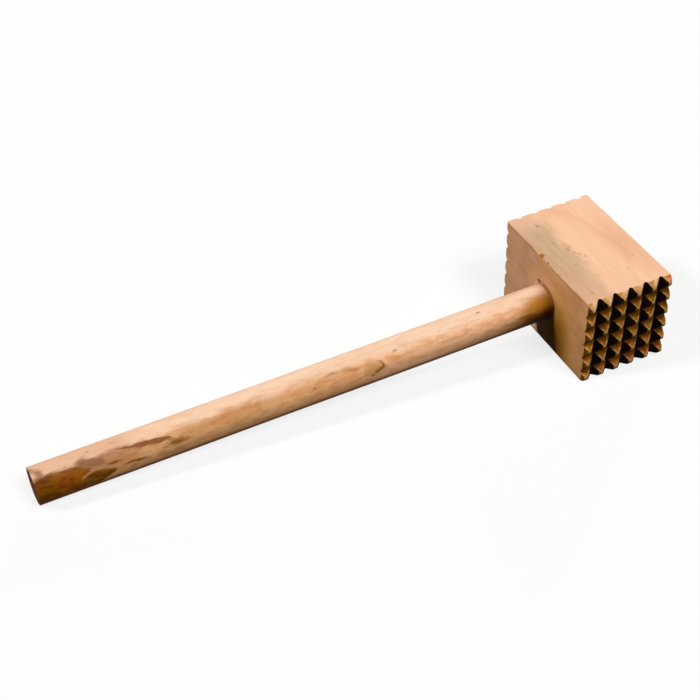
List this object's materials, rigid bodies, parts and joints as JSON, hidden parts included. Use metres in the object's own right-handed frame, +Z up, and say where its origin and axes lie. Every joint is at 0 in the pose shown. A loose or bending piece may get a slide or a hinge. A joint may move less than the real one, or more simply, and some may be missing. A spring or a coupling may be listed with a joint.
{
  "type": "meat mallet",
  "caption": "Wooden meat mallet: a squared block with pyramid teeth cut in its striking faces, on a straight round handle that goes through the block and is wedged.",
  "frame": {"origin": "centre of the block's lower side, the side it lies on, straight below the handle's axis", "axes": "X is the striking direction, with +X at the front toothed face; +Y runs along the handle from the butt to the block; +Z is up, square to the side it lies on"},
  "size_m": [0.085, 0.342, 0.054],
  "materials": {
    "head_wood": "bare sanded beech, end grain on the toothed faces",
    "handle_wood": "bare sanded beech dowel with a brown heartwood streak",
    "wedge_wood": "bare hardwood, darker than the handle"
  },
  "bodies": {
    "root": {"head": "head_wood", "handle": "handle_wood", "wedge": "wedge_wood"}
  },
  "joints": []
}
